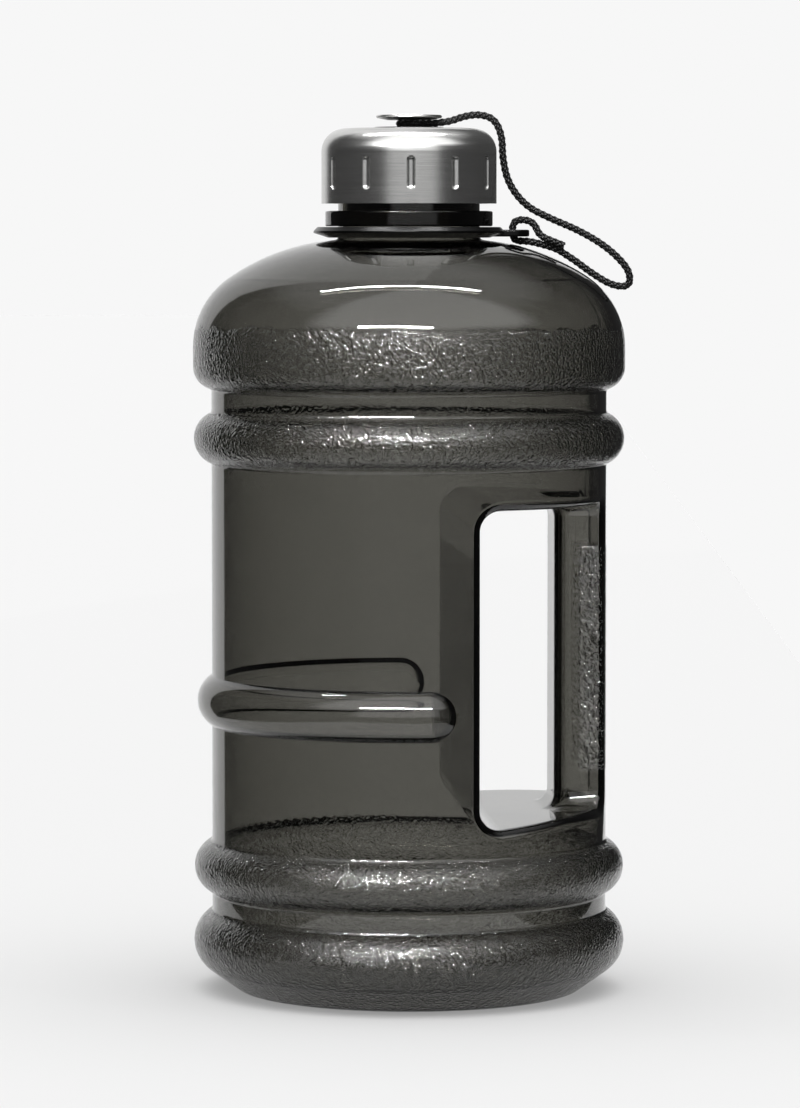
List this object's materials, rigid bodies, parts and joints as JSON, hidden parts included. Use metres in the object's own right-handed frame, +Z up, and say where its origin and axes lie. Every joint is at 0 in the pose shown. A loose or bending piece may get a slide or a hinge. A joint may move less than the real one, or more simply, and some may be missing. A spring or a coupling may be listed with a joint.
{
  "type": "large water jug",
  "caption": "Large round drinking jug with ribbed smoked walls, a built-in side handle, a steel screw cap and a braided cord from the cap to a ring that turns on the neck.",
  "frame": {"origin": "jug's axis on the plane it stands on, at the middle of the foot ring", "axes": "+Z up the jug's axis, +X towards the handle"},
  "size_m": [0.133, 0.13, 0.2645],
  "materials": {
    "smoked_plastic": "clear smoked PETG, glossy, leather-grained on the ribs",
    "cap_steel": "circular brushed",
    "black_plastic": "satin moulded polypropylene",
    "silicone": "matt translucent silicone",
    "button_steel": "satin turned",
    "screw_steel": "machined",
    "nylon": "satin nylon",
    "cord_braid": "round braided nylon"
  },
  "bodies": {
    "jug": {"jug_body": "smoked_plastic"},
    "cap_carrier": {"swivel_washer": "nylon"},
    "cap": {"cap_shell": "cap_steel", "cap_liner": "black_plastic", "cap_gasket": "silicone", "button_disc": "button_steel", "cap_post": "button_steel", "post_screw": "screw_steel", "inner_washer": "screw_steel", "seal_washer": "silicone"},
    "tether_ring": {"neck_ring": "black_plastic", "tether_cord": "cord_braid", "cord_tab_loop": "cord_braid"},
    "post_loop": {"cord_post_loop": "cord_braid"}
  },
  "joints": [
    {"name": "cap_rise", "type": "slide", "parent": "jug", "child": "cap_carrier", "axis": [0, 0, 1], "range_m": [0, 0.0101]},
    {"name": "cap_turn", "type": "hinge", "parent": "cap_carrier", "child": "cap", "pos_m": [0, 0, 0.248], "axis": [0, 0, 1], "range_deg": [0, 720]},
    {"name": "tether_swing", "type": "hinge", "parent": "jug", "child": "tether_ring", "pos_m": [0, 0, 0.228], "axis": [0, 0, 1], "continuous": true},
    {"name": "loop_rise", "type": "slide", "parent": "tether_ring", "child": "post_loop", "axis": [0, 0, 1], "range_m": [0, 0.0101], "deforming": ["tether_cord"]}
  ],
  "couplings": [
    {"joint": "cap_rise", "follows": "cap_turn", "m_per_rad": 0.00079577},
    {"joint": "loop_rise", "follows": "cap_turn", "m_per_rad": 0.00079577}
  ]
}
